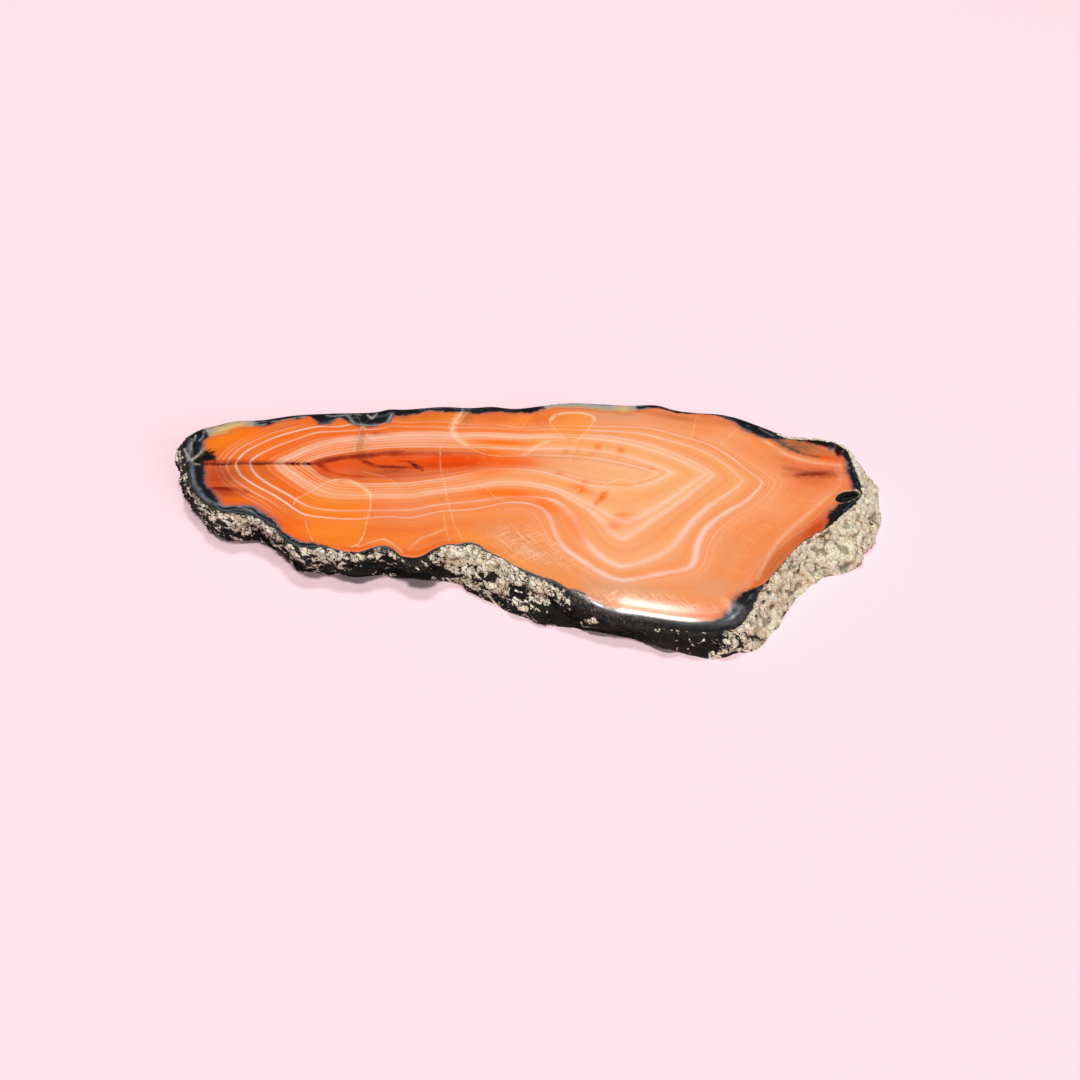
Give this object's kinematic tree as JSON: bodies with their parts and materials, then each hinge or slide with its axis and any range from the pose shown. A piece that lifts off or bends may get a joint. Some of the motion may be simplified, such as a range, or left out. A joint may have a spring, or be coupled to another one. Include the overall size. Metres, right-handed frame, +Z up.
{
  "type": "carnelian slab",
  "caption": "Freeform slab sawn from a banded carnelian nodule: flat polished face above, flat sawn face below, rough natural rind all round the edge.",
  "frame": {"origin": "centre of the slab's bounding box, on the flat sawn underside", "axes": "+X along the slab towards its broad end, +Y towards its straighter long edge, +Z up out of the polished face"},
  "size_m": [0.1692, 0.0888, 0.009],
  "materials": {
    "carnelian": "polished face with white-banded orange agate and a dark rim, rough tan and dark brown rind, plain sawn underside"
  },
  "bodies": {
    "root": {"carnelian_slab": "carnelian"}
  },
  "joints": []
}
